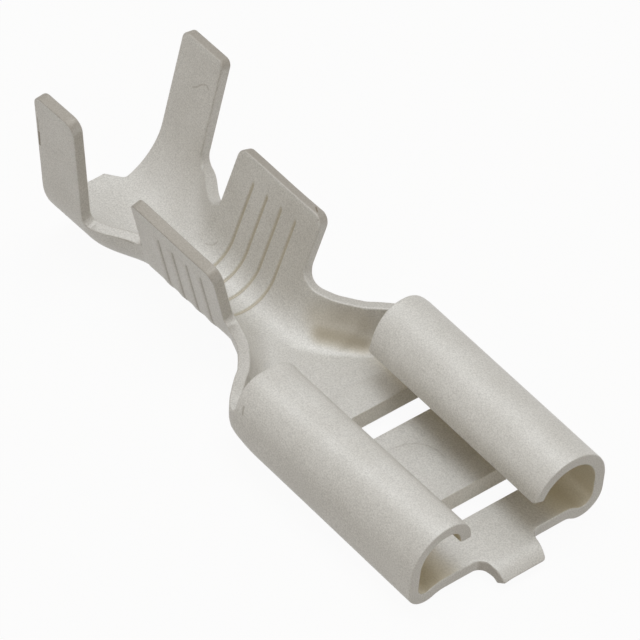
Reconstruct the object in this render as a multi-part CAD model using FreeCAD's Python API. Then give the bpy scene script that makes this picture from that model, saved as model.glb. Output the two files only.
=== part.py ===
import FreeCAD, Part
import math
import os

from FreeCAD import Vector

# Female spade terminal for a 6.35 mm tab, folded from one strip of sheet metal.
# Millimetres. +X is the mating direction, +Z is up, Y = 0 is the middle plane.
# The origin lies on the underside of the floor, in the plane of the mouth.
# "far" is the +Y side and "near" the -Y side; the two sides are not quite alike.

# sheet and overall sizes
sheet = 0.38
width = 7.60
roll_height = 2.52
roll_length = 8.10

# plane floor between the rolled sides, kept this far inside the first bends
floor_room = 0.20

# rolled sides, radii taken at the middle of the sheet, at the mouth and at the rear
far_spread_front = -0.01
far_spread_rear = 0.02
near_spread_front = -0.04
near_spread_rear = 0.06
far_step_radius = 0.60
far_step_angle = 35.0
near_step_radius = 1.20
near_step_angle = 25.0
far_corner_front = 0.58
far_corner_rear = 1.25
near_corner_front = 0.50
near_corner_rear = 0.95
far_shoulder_front = 1.23
far_shoulder_rear = 0.80
near_shoulder_front = 1.10
near_shoulder_rear = 0.93
far_crown_front = 0.02
far_crown_rear = 0.10
near_crown_front = 0.08
near_crown_rear = 0.50
far_lip_radius = 1.25
far_lip_angle_front = 75.0
far_lip_angle_rear = 80.0
near_lip_radius = 0.68
near_lip_angle = 88.0
near_lip_end = 0.10
far_roll_sink = 0.03
roll_stations = 4
rim_slant = 0.25
rim_root_radius = 0.12

# two slots through the floor, with rear walls that lean forward to the bottom
slot_fronts = (-1.52, -5.61)
slot_length = 0.98
slot_end_margin = 1.42
slot_wall_lean = 0.20

# shallow round dimple between the slots
dimple_x = -4.05
dimple_radius = 0.92
dimple_height = 0.05

# tongue at the mouth, tip bent down
tongue_length = 0.83
tongue_root_half = 1.26
tongue_half = 0.95
tongue_tip_half = 0.76
tongue_fillet = 0.27
tongue_flat = 0.30
tongue_bend_radius = 0.40
tongue_bend_angle = 54.0

# neck between the rolled sides and the wire barrel
neck_length = 2.93
neck_edge = 1.57
neck_root_radius = 0.56
neck_stations = 12
# plan line of the neck wall: share of the length, share of the narrowing still to come
neck_line = ((0.0, 0.0), (0.16, 0.052), (0.33, 0.143), (0.48, 0.290), (0.60, 0.440),
             (0.70, 0.610), (0.80, 0.775), (1.0, 1.0))

# wire barrel
wire_length = 3.83
wire_flat = 0.05
wire_radius = 1.50
wire_lean = 17.5
wire_lift = 0.10
wire_top_far = 3.78
wire_top_near_front = 3.71
wire_top_near_rear = 3.90
wire_corner_front = 0.35
wire_corner_rear = 0.30

# insulation barrel
grip_length = 1.90
grip_flat = 0.14
grip_radius = 2.41
grip_lean = 9.0
grip_top_far = 5.44
grip_top_near = 5.89
grip_corner_far_front = 0.20
grip_corner_far_rear = 0.28
grip_corner_near_front = 0.36
grip_corner_near_rear = 0.30

# height by which the outline that trims the wings stands clear of the taller one
wing_clearance = 1.0

# gap between the two barrels
gap_length = 1.88
gap_edge = 1.72
gap_fillet = 0.34
gap_stations = 6

# grooves across the inside of the wire barrel
groove_count = 4
groove_first_x = -13.91
groove_pitch = 0.655
groove_width = 0.12
groove_depth = 0.08
groove_top = 3.24

# tail left where the terminal was cut from its carrier strip
tail_length = 0.59
tail_root_half = 0.92
tail_end_half = 0.51
tail_land = 0.05

floor_half = (width / 2.0 - sheet / 2.0 - far_corner_rear - floor_room
              - far_step_radius * math.radians(far_step_angle))
slot_half_width = width / 2.0 - slot_end_margin
neck_front = -roll_length
wire_front = neck_front - neck_length
wire_rear = wire_front - wire_length
grip_front = wire_rear - gap_length
grip_rear = grip_front - grip_length


def walk(steps, z, offset):
    """Edge pieces (kind, points) in Y and Z along a sheet path, offset to its upper side."""
    y = 0.0
    heading = 0.0
    pieces = []

    def side_point(cy, cz, angle):
        return (cy - offset * math.sin(angle), cz + offset * math.cos(angle))

    for length, turn in steps:
        start = side_point(y, z, heading)
        if abs(turn) < 1e-9:
            y += length * math.cos(heading)
            z += length * math.sin(heading)
            pieces.append(("line", (start, side_point(y, z, heading))))
            continue
        bend = math.radians(turn)
        radius = length / bend
        cy = y - radius * math.sin(heading)
        cz = z + radius * math.cos(heading)
        middle = heading + bend / 2.0
        my = cy + radius * math.sin(middle)
        mz = cz - radius * math.cos(middle)
        between = side_point(my, mz, middle)
        heading += bend
        y = cy + radius * math.sin(heading)
        z = cz - radius * math.cos(heading)
        pieces.append(("arc", (start, between, side_point(y, z, heading))))
    return pieces


def to_edges(pieces, x, side):
    """The pieces of one side as edges in the plane at x."""
    edges = []
    for kind, points in pieces:
        ends = [Vector(x, side * p[0], p[1]) for p in points]
        if kind == "line":
            edges.append(Part.makeLine(ends[0], ends[1]))
        else:
            edges.append(Part.Arc(ends[0], ends[1], ends[2]).toShape())
    return edges


def far_end(pieces, side, x):
    """Last point of a run of pieces on one side."""
    y, z = pieces[-1][1][-1]
    return Vector(x, side * y, z)


def closed_section(x, far_outer, far_inner, near_outer, near_inner):
    """Closed wire of the sheet at x; the first piece of every side is its flat floor."""
    def floor(near, far):
        return Part.makeLine(far_end(near[:1], -1.0, x), far_end(far[:1], 1.0, x))

    edges = [floor(near_outer, far_outer)]
    edges += to_edges(far_outer[1:], x, 1.0)
    edges.append(Part.makeLine(far_end(far_outer, 1.0, x), far_end(far_inner, 1.0, x)))
    edges += list(reversed(to_edges(far_inner[1:], x, 1.0)))
    edges.append(floor(near_inner, far_inner))
    edges += to_edges(near_inner[1:], x, -1.0)
    edges.append(Part.makeLine(far_end(near_inner, -1.0, x), far_end(near_outer, -1.0, x)))
    edges += list(reversed(to_edges(near_outer[1:], x, -1.0)))
    return Part.Wire(edges)


def half_section(x, side, outer, inner):
    """Closed wire of one side of the sheet at x, from the edge of the plane floor out."""
    start = Vector(x, side * floor_half, 0.0)
    above = Vector(x, side * floor_half, sheet)
    edges = [Part.makeLine(start, far_end(outer[:1], side, x))]
    edges += to_edges(outer[1:], x, side)
    edges.append(Part.makeLine(far_end(outer, side, x), far_end(inner, side, x)))
    edges += list(reversed(to_edges(inner[1:], x, side)))
    edges.append(Part.makeLine(far_end(inner[:1], side, x), above))
    edges.append(Part.makeLine(above, start))
    return Part.Wire(edges)


def arc_step(radius, turn):
    """One bend of a path: its length at the middle of the sheet and its turn in degrees."""
    return (radius * math.radians(abs(turn)), turn)


def rolled_side(spread, height, step_radius, step_angle, share, corner, shoulder, crown):
    """Path of one rolled side from the middle plane to the start of its lip."""
    step = step_angle * (1.0 - share)
    drop = math.radians(step)
    flat = width / 2.0 + spread - sheet / 2.0 - corner * (1.0 + math.sin(drop))
    if step > 0.0:
        radius = step_radius * step_angle / step
        flat -= radius * math.sin(drop)
        sunk = radius * (1.0 - math.cos(drop))
        down = arc_step(radius, -step)
    else:
        plain = step_radius * math.radians(step_angle)
        flat -= plain
        sunk = 0.0
        down = (plain, 0.0)
    corner_top = sheet / 2.0 - sunk + corner * math.cos(drop)
    upright = max(height - sheet / 2.0 - shoulder - corner_top, 0.02)
    return [(flat, 0.0), down, arc_step(corner, step + 90.0), (upright, 0.0),
            arc_step(shoulder, 90.0), (crown, 0.0)]


def between(front, rear, share):
    return front + (rear - front) * share


def far_path(share):
    """Path of the far rolled side, from the mouth (share 0) to its rear (share 1)."""
    path = rolled_side(between(far_spread_front, far_spread_rear, share),
                       roll_height - far_roll_sink, far_step_radius, far_step_angle, share,
                       between(far_corner_front, far_corner_rear, share),
                       between(far_shoulder_front, far_shoulder_rear, share),
                       between(far_crown_front, far_crown_rear, share))
    lip_angle = between(far_lip_angle_front, far_lip_angle_rear, share)
    return path + [arc_step(far_lip_radius, lip_angle)]


def near_path(share):
    """Path of the near rolled side, whose lip curls tighter and ends straight."""
    path = rolled_side(between(near_spread_front, near_spread_rear, share),
                       roll_height, near_step_radius, near_step_angle, share,
                       between(near_corner_front, near_corner_rear, share),
                       between(near_shoulder_front, near_shoulder_rear, share),
                       between(near_crown_front, near_crown_rear, share))
    return path + [arc_step(near_lip_radius, near_lip_angle), (near_lip_end, 0.0)]


def rolled_section(share, side):
    """Section of one rolled side at a share of the way to its rear."""
    path = far_path(share) if side > 0.0 else near_path(share)
    x = between(0.0, -roll_length, share)
    middle = sheet / 2.0
    return half_section(x, side, walk(path, middle, -middle), walk(path, middle, middle))


def make_receptacle():
    """Plane floor with both sides rolled up and over, open at the mouth."""
    floor = Part.makeBox(roll_length, 2.0 * floor_half, sheet,
                         Vector(-roll_length, -floor_half, 0.0))
    last = 1.0 - 2.0 * rim_slant / roll_length
    shares = [last * i / (roll_stations - 1.0) for i in range(roll_stations)] + [1.0]
    rolls = [Part.makeLoft([rolled_section(share, side) for share in shares], True, True)
             for side in (1.0, -1.0)]
    return floor, rolls


def trough_side(flat, radius, lean, base, top):
    """Lower or upper face of one trough wall: flat, round corner, leaning flank."""
    angle = math.radians(90.0 - lean)
    room = top - base - 0.1 * sheet
    if room > 0.0 and radius * (1.0 - math.cos(angle)) > room:
        angle = math.acos(1.0 - room / radius)
    bend_y = flat + radius * math.sin(angle)
    bend_z = base + radius * (1.0 - math.cos(angle))
    mid_y = flat + radius * math.sin(angle / 2.0)
    mid_z = base + radius * (1.0 - math.cos(angle / 2.0))
    end_y = bend_y + (top - bend_z) / math.tan(angle)
    return [("line", ((0.0, base), (flat, base))),
            ("arc", ((flat, base), (mid_y, mid_z), (bend_y, bend_z))),
            ("line", ((bend_y, bend_z), (end_y, top)))]


def reach(radius, lean, base):
    """Half width at the height of the neck edge, less the flat of the floor."""
    slope = math.radians(lean)
    bend_z = base + radius * (1.0 - math.sin(slope))
    return radius * math.cos(slope) + (neck_edge - bend_z) * math.tan(slope)


def trough_wall(outer_flat, inner_flat, radius, lean, lift, top):
    """Both faces of one trough wall that ends square at the outer height top."""
    rise = sheet * math.sin(math.radians(lean))
    outer = trough_side(outer_flat, radius, lean, lift, top)
    inner = trough_side(inner_flat, radius - sheet, lean, lift + sheet, top + rise)
    return outer, inner


def trough_section(x, outer_flat, inner_flat, radius, lean, lift, top):
    """Closed section of an open trough with two like walls."""
    outer, inner = trough_wall(outer_flat, inner_flat, radius, lean, lift, top)
    return closed_section(x, outer, inner, outer, inner)


def neck_wall(point, tangent, level, spread, corner_rear):
    """Both faces of one neck wall; level is true where its plan runs along the part."""
    wide = width / 2.0 + spread
    narrow = wire_flat + reach(wire_radius, wire_lean, wire_lift)
    u = point.x
    half = narrow + (wide - narrow) * point.y
    slope = (wide - narrow) / (neck_length - neck_root_radius) * tangent.y / tangent.x
    if level:
        slope = 0.0
    lean = wire_lean * (1.0 - u * u)
    radius = between(wire_radius, corner_rear + sheet / 2.0, u)
    lift = wire_lift * (1.0 - u) ** 2
    wall = sheet * math.sqrt(1.0 + slope * slope) / math.cos(math.radians(lean))
    outer_flat = half - reach(radius, lean, lift)
    inner_flat = half - wall - reach(radius - sheet, lean, lift + sheet)
    return trough_wall(max(outer_flat, wire_flat), max(inner_flat, wire_flat),
                       radius, lean, lift, neck_edge)


def make_neck():
    """Open trough that narrows from the rolled part to the foot of the wire barrel."""
    line = Part.BSplineCurve()
    line.interpolate([Vector(u, g, 0.0) for u, g in neck_line])
    first = line.FirstParameter
    last = line.LastParameter
    run = neck_length - neck_root_radius
    sections = []
    for i in range(neck_stations + 1):
        at = last + (first - last) * i / neck_stations
        point = line.value(at)
        tangent = line.tangent(at)[0]
        level = i == 0 or i == neck_stations
        far = neck_wall(point, tangent, level, far_spread_rear, far_corner_rear)
        near = neck_wall(point, tangent, level, near_spread_rear, near_corner_rear)
        x = neck_front - run * (1.0 - point.x)
        sections.append(closed_section(x, far[0], far[1], near[0], near[1]))
    return Part.makeLoft(sections, True, True)


def make_gap():
    """Low trough that joins the feet of the two barrels."""
    sections = []
    for i in range(gap_stations + 1):
        share = i / float(gap_stations)
        swell = share * share * (3.0 - 2.0 * share)
        x = between(wire_rear - gap_fillet, grip_front + gap_fillet, share)
        flat = between(wire_flat, grip_flat, swell)
        sections.append(trough_section(x, flat, flat,
                                       between(wire_radius, grip_radius, swell),
                                       between(wire_lean, grip_lean, swell),
                                       between(wire_lift, 0.0, swell), gap_edge))
    return Part.makeLoft(sections, True, True)


def rounded_prism(points, origin, along, up, sweep):
    """Solid swept from a flat outline; a third number rounds that corner."""
    count = len(points)
    spots = [origin + along * p[0] + up * p[1] for p in points]
    starts = []
    ends = []
    middles = []
    for i in range(count):
        radius = points[i][2]
        here = spots[i]
        starts.append(here)
        ends.append(here)
        middles.append(None)
        if radius > 0.0:
            before = (spots[i - 1] - here).normalize()
            after = (spots[(i + 1) % count] - here).normalize()
            half = before.getAngle(after) / 2.0
            back = radius / math.tan(half)
            starts[i] = here + before * back
            ends[i] = here + after * back
            inward = (before + after).normalize()
            middles[i] = here + inward * (radius / math.sin(half) - radius)
    edges = []
    for i in range(count):
        if middles[i] is not None:
            edges.append(Part.Arc(starts[i], middles[i], ends[i]).toShape())
        edges.append(Part.makeLine(ends[i], starts[(i + 1) % count]))
    return Part.Face(Part.Wire(edges)).extrude(sweep)


def side_prism(points):
    """Cutter drawn in X and Z, swept right across the part."""
    return rounded_prism(points, Vector(0.0, -width, 0.0), Vector(1.0, 0.0, 0.0),
                         Vector(0.0, 0.0, 1.0), Vector(0.0, 2.0 * width, 0.0))


def rim_cutter():
    """Slanting rear rim of the rolled sides, down to the edge of the neck."""
    slant = rim_slant / (roll_height - neck_edge)
    head = neck_front - slant * 0.25 * roll_height
    behind = neck_front - roll_height
    return side_prism([(neck_front + rim_slant, neck_edge, rim_root_radius),
                       (head, 1.25 * roll_height, 0.0),
                       (behind, 1.25 * roll_height, 0.0),
                       (behind, neck_edge, 0.0)])


def wing_cutter(side, shape, outline):
    """Trims one barrel wall to its outline, square through the leaning sheet."""
    flat, radius, lean, lift = shape
    slope = math.radians(lean)
    foot_y, foot_z = trough_side(flat, radius, lean, lift, 0.0)[-1][1][-1]
    outward = Vector(0.0, side * math.cos(slope), -math.sin(slope))
    up = Vector(0.0, side * math.sin(slope), math.cos(slope))
    origin = Vector(0.0, side * foot_y, foot_z) + outward * sheet
    points = [(x, z / math.cos(slope), rounding) for x, z, rounding in outline]
    return rounded_prism(points, origin, Vector(1.0, 0.0, 0.0), up, outward * (-3.0 * sheet))


def make_barrel(shape, front, rear, spare, wings):
    """Round-bottomed trough with two upright wings; each wing has its own outline."""
    flat, radius, lean, lift = shape
    front_spare, rear_spare = spare
    tall = max(point[1] for point in wings[0]) - wing_clearance / 2.0
    section = trough_section(rear - rear_spare, flat, flat, radius, lean, lift, tall)
    trough = Part.Face(section).extrude(Vector(front - rear + front_spare + rear_spare, 0, 0))
    for side, wing in zip((1.0, -1.0), wings):
        trough = trough.cut(wing_cutter(side, shape, wing))
    return trough


def wire_wing(top_front, top_rear, above):
    """Everything to clear above one wing of the wire barrel, up to a height above both."""
    front = wire_front + 2.0 * neck_root_radius
    rear = wire_rear - 2.0 * gap_fillet
    return [(front, neck_edge, 0.0), (wire_front, neck_edge, neck_root_radius),
            (wire_front, top_front, wire_corner_front),
            (wire_rear, top_rear, wire_corner_rear),
            (wire_rear, gap_edge, gap_fillet), (rear, gap_edge, 0.0),
            (rear, above, 0.0), (front, above, 0.0)]


def grip_wing(top, corner_front, corner_rear, above):
    """Everything to clear above one wing of the insulation barrel, as for the other."""
    front = grip_front + 2.0 * gap_fillet
    rear = grip_rear - 0.5
    return [(front, gap_edge, 0.0), (grip_front, gap_edge, gap_fillet),
            (grip_front, top, corner_front), (grip_rear, top, corner_rear),
            (grip_rear, gap_edge, 0.0), (rear, gap_edge, 0.0),
            (rear, above, 0.0), (front, above, 0.0)]


def make_wire_barrel():
    shape = (wire_flat, wire_radius, wire_lean, wire_lift)
    above = max(wire_top_far, wire_top_near_front, wire_top_near_rear) + wing_clearance
    return make_barrel(shape, wire_front, wire_rear, (neck_root_radius, gap_fillet),
                       (wire_wing(wire_top_far, wire_top_far, above),
                        wire_wing(wire_top_near_front, wire_top_near_rear, above)))


def make_insulation_barrel():
    shape = (grip_flat, grip_radius, grip_lean, 0.0)
    above = max(grip_top_far, grip_top_near) + wing_clearance
    return make_barrel(shape, grip_front, grip_rear, (gap_fillet, 0.0),
                       (grip_wing(grip_top_far, grip_corner_far_front,
                                  grip_corner_far_rear, above),
                        grip_wing(grip_top_near, grip_corner_near_front,
                                  grip_corner_near_rear, above)))


def slot_cutters():
    """Two slots across the floor under the rolled sides."""
    cutters = []
    depth = 2.0 * sheet
    lean = slot_wall_lean / sheet
    for front in slot_fronts:
        rear = front - slot_length
        outline = [(front, -depth, 0.0),
                   (front, 1.6 * sheet, 0.0),
                   (rear - lean * 0.6 * sheet, 1.6 * sheet, 0.0),
                   (rear + lean * (depth + sheet), -depth, 0.0)]
        cutters.append(rounded_prism(outline, Vector(0.0, -slot_half_width, 0.0),
                                     Vector(1.0, 0.0, 0.0), Vector(0.0, 0.0, 1.0),
                                     Vector(0.0, 2.0 * slot_half_width, 0.0)))
    return cutters


def groove_cutters():
    """Grooves around the inside of the wire barrel, one every pitch."""
    skin = 0.3
    lift = wire_lift + sheet
    inner = wire_radius - sheet
    depth = groove_depth
    deep = trough_side(wire_flat, inner + depth, wire_lean, lift - depth, groove_top)
    free = trough_side(wire_flat, inner - skin, wire_lean, lift + skin, groove_top)
    cutters = []
    for i in range(groove_count):
        x = groove_first_x + i * groove_pitch - groove_width / 2.0
        face = Part.Face(closed_section(x, deep, free, deep, free))
        cutters.append(face.extrude(Vector(groove_width, 0.0, 0.0)))
    return cutters


def make_tongue():
    """Short tongue at the mouth with hollow root corners and a tip bent down."""
    bend = math.radians(tongue_bend_angle)
    top = tongue_bend_radius + sheet
    low = -tongue_bend_radius
    back = -2.0 * sheet

    def on_bend(radius, angle):
        return Vector(tongue_flat + radius * math.sin(angle), -width / 2.0,
                      low + radius * math.cos(angle))

    edges = [Part.makeLine(Vector(back, -width / 2.0, 0.0), on_bend(tongue_bend_radius, 0.0)),
             Part.Arc(on_bend(tongue_bend_radius, 0.0), on_bend(tongue_bend_radius, bend / 2),
                      on_bend(tongue_bend_radius, bend)).toShape(),
             Part.makeLine(on_bend(tongue_bend_radius, bend), on_bend(top, bend)),
             Part.Arc(on_bend(top, bend), on_bend(top, bend / 2),
                      on_bend(top, 0.0)).toShape(),
             Part.makeLine(on_bend(top, 0.0), Vector(back, -width / 2.0, sheet)),
             Part.makeLine(Vector(back, -width / 2.0, sheet), Vector(back, -width / 2.0, 0.0))]
    strip = Part.Face(Part.Wire(edges)).extrude(Vector(0.0, width, 0.0))
    low_z = -roll_height
    hollow = tongue_fillet

    def plan(x, y):
        return Vector(x, y, low_z)

    knee_x = hollow * (1.0 - math.sqrt(0.5))
    run = tongue_root_half - tongue_half
    knee_y = tongue_half + run * (1.0 - math.sqrt(0.5))
    far = tongue_length + sheet
    slope = (tongue_half - tongue_tip_half) / (tongue_length - hollow)
    tip = tongue_half - slope * (far - hollow)
    outline = [Part.makeLine(plan(back, -tongue_root_half), plan(0.0, -tongue_root_half)),
               Part.Arc(plan(0.0, -tongue_root_half), plan(knee_x, -knee_y),
                        plan(hollow, -tongue_half)).toShape(),
               Part.makeLine(plan(hollow, -tongue_half), plan(far, -tip)),
               Part.makeLine(plan(far, -tip), plan(far, tip)),
               Part.makeLine(plan(far, tip), plan(hollow, tongue_half)),
               Part.Arc(plan(hollow, tongue_half), plan(knee_x, knee_y),
                        plan(0.0, tongue_root_half)).toShape(),
               Part.makeLine(plan(0.0, tongue_root_half), plan(back, tongue_root_half)),
               Part.makeLine(plan(back, tongue_root_half), plan(back, -tongue_root_half))]
    shape = Part.Face(Part.Wire(outline)).extrude(Vector(0.0, 0.0, 2.0 * roll_height))
    return strip.common(shape)


def make_tail():
    """Stub behind the insulation barrel, following its round bottom."""
    end = grip_rear - tail_length
    overlap = 0.4
    section = trough_section(end, grip_flat, grip_flat, grip_radius, grip_lean, 0.0,
                             gap_edge)
    stub = Part.Face(section).extrude(Vector(tail_length + overlap, 0.0, 0.0))
    land = grip_rear - tail_land
    points = [Vector(grip_rear + overlap, -tail_root_half, -gap_edge),
              Vector(grip_rear + overlap, tail_root_half, -gap_edge),
              Vector(land, tail_root_half, -gap_edge),
              Vector(end, tail_end_half, -gap_edge),
              Vector(end, -tail_end_half, -gap_edge),
              Vector(land, -tail_root_half, -gap_edge)]
    outline = Part.makePolygon(points + [points[0]])
    return stub.common(Part.Face(outline).extrude(Vector(0.0, 0.0, 2.5 * gap_edge)))


def make_dimple():
    """Shallow round swelling of the floor between the slots."""
    ball = (dimple_radius ** 2 + dimple_height ** 2) / (2.0 * dimple_height)
    centre = Vector(dimple_x, 0.0, sheet + dimple_height - ball)
    cap = Part.makeSphere(ball, centre)
    slab = Part.makeCylinder(dimple_radius + 0.2, sheet + dimple_height,
                             Vector(dimple_x, 0.0, sheet / 2.0))
    return cap.common(slab)


def make_terminal():
    """All stretches of the one folded sheet joined into a single solid."""
    floor, rolls = make_receptacle()
    rim = rim_cutter()
    slots = slot_cutters()
    body = floor.fuse(make_dimple()).cut(slots)
    body = body.fuse([roll.cut(rim).cut(slots) for roll in rolls])
    wire_barrel = make_wire_barrel().cut(groove_cutters())
    body = body.fuse([make_tongue(), make_neck(), wire_barrel, make_gap(),
                      make_insulation_barrel(), make_tail()])
    return body.removeSplitter()


os.makedirs("parts", exist_ok=True)
terminal = make_terminal()
terminal = terminal.Solids[0] if len(terminal.Solids) == 1 else terminal
terminal.exportStep("parts/terminal.step")
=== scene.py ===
import math

import bpy
import numpy as np
from mathutils import Matrix, Vector
from mathutils.geometry import delaunay_2d_cdt


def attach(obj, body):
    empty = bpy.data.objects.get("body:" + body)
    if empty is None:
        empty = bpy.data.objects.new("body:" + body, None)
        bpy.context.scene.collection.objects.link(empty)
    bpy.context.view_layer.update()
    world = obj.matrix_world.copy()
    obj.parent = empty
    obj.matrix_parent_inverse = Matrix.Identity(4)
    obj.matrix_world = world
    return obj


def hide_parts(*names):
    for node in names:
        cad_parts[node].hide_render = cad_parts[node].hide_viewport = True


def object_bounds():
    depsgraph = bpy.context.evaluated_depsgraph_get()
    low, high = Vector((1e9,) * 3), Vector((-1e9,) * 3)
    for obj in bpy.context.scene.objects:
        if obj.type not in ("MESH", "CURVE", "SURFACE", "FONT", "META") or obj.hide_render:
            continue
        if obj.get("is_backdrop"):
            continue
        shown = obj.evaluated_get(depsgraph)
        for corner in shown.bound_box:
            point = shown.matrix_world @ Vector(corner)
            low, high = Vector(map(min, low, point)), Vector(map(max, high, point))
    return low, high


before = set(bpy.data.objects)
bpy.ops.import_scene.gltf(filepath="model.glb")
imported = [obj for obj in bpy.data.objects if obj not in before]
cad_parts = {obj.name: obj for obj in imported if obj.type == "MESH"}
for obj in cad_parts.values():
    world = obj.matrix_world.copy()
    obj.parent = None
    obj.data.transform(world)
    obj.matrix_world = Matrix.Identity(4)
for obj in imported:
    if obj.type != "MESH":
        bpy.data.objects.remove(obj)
cad_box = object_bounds()

# The terminal is drawn as one folded sheet. Every point has a place (x, s): x runs
# along the part and s is the way around its section from the middle plane, positive
# on the far side. All sizes here are millimetres and become metres at the end.

SHEET = 0.38
HALF = SHEET / 2

# rolled sides: width over them, height, and x where they end
WIDTH = 7.6
ROLL_TOP = 2.52
ROLL_END = -8.10

# barrels: x of the wire wings and of the insulation wings, their lean in degrees, and
# heights of the rims between them
WIRE_FRONT, WIRE_REAR = -11.03, -14.86
GRIP_FRONT, GRIP_REAR = -16.74, -18.62
WIRE_LEAN, GRIP_LEAN = 17.5, 9.0
WIRE_RADIUS, GRIP_RADIUS = 1.31, 2.22
NECK_EDGE = 1.57
GAP_EDGE = 1.72

# half width of the flat floor in the neck at least, and in each barrel; how far the
# neck's end stands above the floor, and how much more the wire barrel
LEAST_FLOOR = 0.045
WIRE_FLOOR, GRIP_FLOOR = 0.05, 0.14
NECK_RISE, BARREL_RISE = 0.10, 0.08

# rims are measured on the outer face: how much further up the middle line goes there
GAP_SINK, GRIP_SINK = 0.04, 0.03

# tail and stop tongue: x of the ends, where the tongue starts to bend and its radius
TAIL_END = -19.23
TONGUE_END = 0.87
TONGUE_FLAT = 0.30
TONGUE_RADIUS = 0.59

# slots: x of the front and rear edge, half length, corner, and lean of the rear edge
SLOTS = ((-1.54, -2.37), (-5.61, -6.50))
SLOT_HALF = 2.36
SLOT_ROUND = 0.05
SLOT_LEAN = 0.10

# pressed grooves: x, height where they end, depth, half width and slope of their sides;
# outside each one stands a ridge with a crease beside it
GROOVES = tuple(-13.91 + 0.655 * i for i in range(4))
GROOVE_TOP = 3.24
GROOVE_DEPTH, GROOVE_HALF, GROOVE_SLOPE = 0.045, 0.020, 0.045
RIDGE_HEIGHT, RIDGE_WIDTH = 0.026, 0.15
CREASE_SHIFT = 0.19
CREASE_DEPTH, CREASE_WIDTH = 0.040, 0.045

# faint pressed ring in the floor, and the faint bend line across it
RING_X, RING_RADIUS, RING_HEIGHT = -3.98, 0.95, 0.012
BEND_X, BEND_DEPTH, BEND_WIDTH = -7.66, 0.010, 0.07

# cut edges: how far they are rounded inwards, and down from each face
EDGE = 0.045
EDGE_TOP, EDGE_LOW = 0.075, 0.035
EDGE_STEPS = 3

# heights of the wing tips at their front and rear corner; True is the near side
WIRE_TOP = {False: (3.77, 3.84), True: (3.71, 3.90)}
GRIP_TOP = {False: (5.46, 5.49), True: (5.89, 5.89)}

# spacing of the skin's points: around the section, the steps of it to either side, and
# along its rims; the furthest way out that is looked at
WAY_GAP = 0.10
WAY_STEPS = 95
RIM_GAP = 0.075
MOST_WAY = 8.0

# how far inner points keep from a rim, in rows or gaps, and behind a slot, in mm
RIM_CLEAR, SLOT_CLEAR = 0.55, 0.17

# length given to the last straight run of a section, past any rim
FAR_OUT = 20.0
QUARTER = math.pi / 2

# rows of points along the skin: x where each run of them begins, and its spacing,
# ahead of the grooves (and between them) and behind them
ROWS_AHEAD = ((TONGUE_END, 0.07), (0.0, 0.20), (-7.4, 0.075), (-11.0, 0.12))
ROWS_BEHIND = ((-14.9, 0.09), (-16.8, 0.14))

# where rows of points stand closer, as offsets from each groove, and where that ends
GROOVE_BEHIND = 0.14
GROOVE_ROWS = (0.24, 0.215, 0.19, 0.165, 0.14, 0.10, 0.075, 0.05, 0.025, 0.0, -0.025,
               -0.05, -0.075, -0.10)

# floor and surroundings, in metres: half the floor's side, the shade that lights the
# part, the white that is seen and the share of real shadow in it, and the level and
# tint of the world's light
FLOOR_REACH = 0.6
FLOOR_SHADE = (0.36, 0.335, 0.29)
FLOOR_PALE = (0.95, 0.95, 0.95)
SHADOW_SHARE = 0.06
WORLD_LEVEL = 0.335
WORLD_TINT = (1.0, 0.93, 0.79)

# lamps, in metres: the large one overhead, a weak one in front, and where both point
LAMP_PLACE = (-0.05, 0.03, 0.35)
LAMP_SIZE = 0.26
LAMP_POWER = 0.355
LAMP_TINT = (0.89, 0.945, 1.0)
FILL_PLACE = (0.10, -0.30, 0.18)
FILL_SIZE = 0.25
FILL_POWER = 0.055
FILL_TINT = (1.0, 0.98, 0.95)
LAMP_AIM = (-0.009, 0, 0)

# tin plating: deepest and palest colour and the noise between them, points per metre
# of the grain and of the stains, the grain's share in it, how far the grain darkens and
# lightens the colour over which noise, and its relief (strength, height in metres)
METALLIC = 0.3
ROUGHNESS = 0.5
TIN_DEEP = (0.70, 0.68, 0.643)
TIN_PALE = (0.80, 0.785, 0.757)
TINT_SPAN = (0.3, 0.7)
GRAIN_SCALE, STAIN_SCALE = 22000, 700
GRAIN_SHARE = 0.45
SPECKLE, SPECKLE_SPAN = 0.13, (0.25, 0.75)
BUMP_STRENGTH, BUMP_HEIGHT = 0.10, 0.00002

# painted shade goes towards brown, and painted warm bounce light towards a warm
# tint; both run from 0 to 1
BROWN = (0.18, 0.13, 0.07)
WARM = (0.88, 0.77, 0.50)
# painted shade on the cut faces: tongue, mouth, rims behind the rolls, wings and their
# tips
TONGUE_EDGE_SHADE = 0.40
MOUTH_EDGE_SHADE = 0.12
RIM_EDGE_SHADE = 0.14
WING_EDGE_SHADE, TIP_EDGE_SHADE = 0.08, 0.50
# painted shade in the grooves inside and in the creases outside
GROOVE_SHADE, CREASE_SHADE = 0.29, 0.4
# painted warm bounce light inside the rolls, slots, grooves and the neck's shaded patches
RECESS_BOUNCE, SLOT_BOUNCE = 0.40, 0.10
GROOVE_BOUNCE = 0.36
NECK_PATCH_BOUNCE = 0.8

# camera: place in metres, its right, down and forward axes, and the lens in pixels of a
# picture 640 pixels wide
CAMERA_PLACE = (0.0904347, -0.0984909, 0.1338209)
CAMERA_AXES = ((0.6447616, 0.7598256, 0.0833515), (0.5628822, -0.3981879, -0.7242998),
               (-0.5171519, 0.5139177, -0.6844285))
LENS_PIXELS = 6500
SENSOR = 36
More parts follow.
